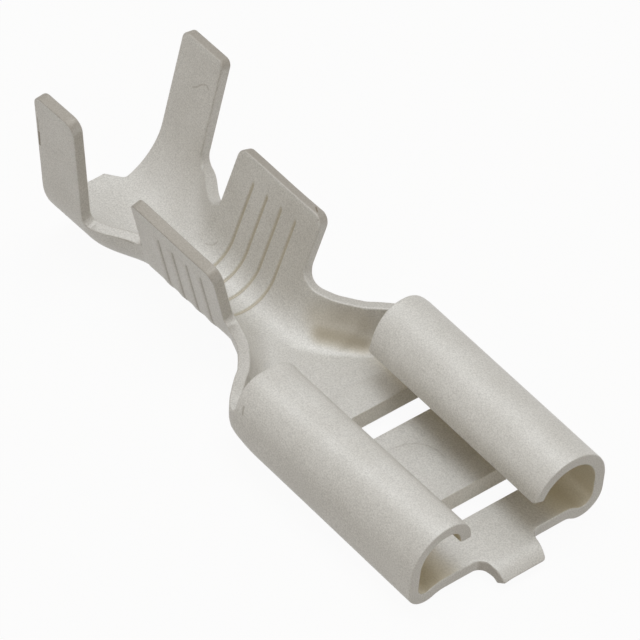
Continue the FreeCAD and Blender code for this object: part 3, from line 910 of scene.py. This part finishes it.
def stroke_group():
    """Node group: 1 along the line from A to B, fading to 0 at its width."""
    group = bpy.data.node_groups.new("stroke", "ShaderNodeTree")
    nodes, links = group.nodes, group.links
    for name, kind in (("Place", "NodeSocketVector"), ("A", "NodeSocketVector"),
                       ("B", "NodeSocketVector"), ("Width", "NodeSocketFloat")):
        group.interface.new_socket(name=name, in_out="INPUT", socket_type=kind)
    group.interface.new_socket(name="Mask", in_out="OUTPUT", socket_type="NodeSocketFloat")
    given = nodes.new("NodeGroupInput").outputs

    def vector(operation, *values):
        node = nodes.new("ShaderNodeVectorMath")
        node.operation = operation
        for socket, value in zip(node.inputs, values):
            links.new(value, socket)
        return node

    along = vector("SUBTRACT", given["B"], given["A"]).outputs["Vector"]
    away = vector("SUBTRACT", given["Place"], given["A"]).outputs["Vector"]
    share = maths(nodes, links, "DIVIDE",
                  vector("DOT_PRODUCT", away, along).outputs["Value"],
                  vector("DOT_PRODUCT", along, along).outputs["Value"])
    share.node.use_clamp = True
    foot = vector("SCALE", along)
    links.new(share, foot.inputs["Scale"])
    gap = vector("DISTANCE", away, foot.outputs["Vector"]).outputs["Value"]
    fade = ranged(nodes, links, gap, 0.0, given["Width"], 1.0, 0.0)
    fade.interpolation_type = "SMOOTHSTEP"
    links.new(fade.outputs["Result"], nodes.new("NodeGroupOutput").inputs["Mask"])
    return group


def wear_and_painted_shade(nodes, links, place, start):
    """The marks of wear and of painted shade laid over the painted shade already there."""
    group = stroke_group()
    millimetres = nodes.new("ShaderNodeVectorMath")
    millimetres.operation = "SCALE"
    millimetres.inputs["Scale"].default_value = 1000
    links.new(place, millimetres.inputs[0])
    total = start
    for strength, width, points in WEAR_AND_SHADE_MARKS:
        for a, b in zip(points[:-1], points[1:]):
            stroke = nodes.new("ShaderNodeGroup")
            stroke.node_tree = group
            stroke.inputs["A"].default_value = a
            stroke.inputs["B"].default_value = b
            stroke.inputs["Width"].default_value = width
            links.new(millimetres.outputs["Vector"], stroke.inputs["Place"])
            mark = maths(nodes, links, "MULTIPLY", stroke.outputs["Mask"], strength)
            total = maths(nodes, links, "MAXIMUM", total, mark)
    return total


def tinned_brass():
    """Satin tin plating: grain, faint stains and wear, with painted shade and warm bounce
    light.
    """
    material = bpy.data.materials.new("tinned_brass")
    material.use_nodes = True
    nodes, links = material.node_tree.nodes, material.node_tree.links
    shader = nodes["Principled BSDF"]
    shader.inputs["Metallic"].default_value = METALLIC
    shader.inputs["Roughness"].default_value = ROUGHNESS
    place = nodes.new("ShaderNodeTexCoord").outputs["Object"]
    grain = noise(nodes, links, place, GRAIN_SCALE, 2.0)
    stain = noise(nodes, links, place, STAIN_SCALE, 4.0)
    tint = nodes.new("ShaderNodeValToRGB")
    for stop, spot, colour in zip(tint.color_ramp.elements, TINT_SPAN,
                                  (TIN_DEEP, TIN_PALE)):
        stop.position = spot
        stop.color = (*colour, 1)
    links.new(blend(nodes, links, GRAIN_SHARE, stain, grain, "FLOAT"), tint.inputs["Fac"])
    speckle = ranged(nodes, links, grain, *SPECKLE_SPAN, 1 - SPECKLE, 1 + SPECKLE)
    colour = blend(nodes, links, 1.0, tint.outputs["Color"], speckle.outputs["Result"],
                   way="MULTIPLY")
    # painted warm bounce light from the points' values tints the colour
    colour = blend(nodes, links, painted(nodes, "painted_bounce_amount"), colour, (*WARM, 1))
    # painted shade from the points, with wear marks and painted shade marks over it, turns
    # the colour brown
    brown = wear_and_painted_shade(nodes, links, place, painted(nodes, "painted_shade_amount"))
    links.new(blend(nodes, links, brown, colour, (*BROWN, 1)), shader.inputs["Base Color"])
    bump = nodes.new("ShaderNodeBump")
    bump.inputs["Strength"].default_value = BUMP_STRENGTH
    bump.inputs["Distance"].default_value = BUMP_HEIGHT
    links.new(grain, bump.inputs["Height"])
    links.new(bump.outputs["Normal"], shader.inputs["Normal"])
    return material


def shown_ray(nodes, links):
    """1 for rays that show the background: camera, mirror and glass rays."""
    ray = nodes.new("ShaderNodeLightPath").outputs
    mirror = maths(nodes, links, "MAXIMUM", ray["Is Glossy Ray"],
                   ray["Is Transmission Ray"])
    return maths(nodes, links, "MAXIMUM", ray["Is Camera Ray"], mirror)


def pale_floor():
    """White floor: it reads as plain white, only the shadow under the part stays."""
    mesh = bpy.data.meshes.new("floor")
    low = cad_box[0][2]
    mesh.from_pydata([(-FLOOR_REACH, -FLOOR_REACH, low), (FLOOR_REACH, -FLOOR_REACH, low),
                      (FLOOR_REACH, FLOOR_REACH, low), (-FLOOR_REACH, FLOOR_REACH, low)],
                     [], [(0, 1, 2, 3)])
    floor = bpy.data.objects.new("floor", mesh)
    bpy.context.scene.collection.objects.link(floor)
    material = bpy.data.materials.new("floor_white")
    material.use_nodes = True
    nodes, links = material.node_tree.nodes, material.node_tree.links
    nodes.remove(nodes["Principled BSDF"])
    board = nodes.new("ShaderNodeBsdfDiffuse")
    board.inputs["Color"].default_value = (*FLOOR_SHADE, 1)
    white = nodes.new("ShaderNodeEmission")
    white.inputs["Color"].default_value = (1, 1, 1, 1)
    white.inputs["Strength"].default_value = 1.0
    pale = nodes.new("ShaderNodeBsdfDiffuse")
    pale.inputs["Color"].default_value = (*FLOOR_PALE, 1)
    seen = nodes.new("ShaderNodeMixShader")
    seen.inputs["Fac"].default_value = SHADOW_SHARE
    choose = nodes.new("ShaderNodeMixShader")
    links.new(white.outputs["Emission"], seen.inputs[1])
    links.new(pale.outputs["BSDF"], seen.inputs[2])
    links.new(shown_ray(nodes, links), choose.inputs["Fac"])
    links.new(board.outputs["BSDF"], choose.inputs[1])
    links.new(seen.outputs["Shader"], choose.inputs[2])
    links.new(choose.outputs["Shader"], nodes["Material Output"].inputs["Surface"])
    mesh.materials.append(material)
    floor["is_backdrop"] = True


def soft_lamp(name, place, size, power, tint):
    """Round lamp that faces the middle of the part."""
    lamp = bpy.data.lights.new(name, "AREA")
    lamp.shape = "DISK"
    lamp.size = size
    lamp.energy = power
    lamp.color = tint
    holder = bpy.data.objects.new(name, lamp)
    bpy.context.scene.collection.objects.link(holder)
    holder.location = place
    way = Vector(LAMP_AIM) - Vector(place)
    holder.rotation_euler = way.to_track_quat("-Z", "Y").to_euler()


def lights():
    """Even pale surroundings, a large soft lamp overhead and a weak one in front."""
    world = bpy.data.worlds.new("studio")
    bpy.context.scene.world = world
    world.use_nodes = True
    nodes, links = world.node_tree.nodes, world.node_tree.links
    ground = nodes["Background"]
    ground.inputs["Color"].default_value = (*WORLD_TINT, 1)
    ground.inputs["Strength"].default_value = WORLD_LEVEL
    white = nodes.new("ShaderNodeBackground")
    white.inputs["Color"].default_value = (1, 1, 1, 1)
    white.inputs["Strength"].default_value = 1.0
    choose = nodes.new("ShaderNodeMixShader")
    links.new(shown_ray(nodes, links), choose.inputs["Fac"])
    links.new(ground.outputs["Background"], choose.inputs[1])
    links.new(white.outputs["Background"], choose.inputs[2])
    links.new(choose.outputs["Shader"], nodes["World Output"].inputs["Surface"])
    soft_lamp("overhead", LAMP_PLACE, LAMP_SIZE, LAMP_POWER, LAMP_TINT)
    soft_lamp("front_fill", FILL_PLACE, FILL_SIZE, FILL_POWER, FILL_TINT)


def camera():
    """Camera of the photograph: long lens, 43 degrees above, 45 degrees to the side."""
    data = bpy.data.cameras.new("camera")
    data.sensor_width = SENSOR
    data.lens = LENS_PIXELS / 640 * SENSOR
    data.clip_start = 0.01
    data.clip_end = 5
    holder = bpy.data.objects.new("camera", data)
    bpy.context.scene.collection.objects.link(holder)
    right, down, ahead = (Vector(row) for row in CAMERA_AXES)
    turn = Matrix((right, -down, -ahead)).transposed().to_4x4()
    holder.matrix_world = Matrix.Translation(CAMERA_PLACE) @ turn
    bpy.context.scene.camera = holder


def plain(box):
    return [[float(v) for v in corner] for corner in box]


terminal = build_terminal()
terminal.data.materials.append(tinned_brass())
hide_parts("terminal")
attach(terminal, "root")
pale_floor()
lights()
camera()
bpy.context.scene.view_settings.view_transform = "Standard"

{"cad": plain(cad_box), "visual": plain(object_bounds())}
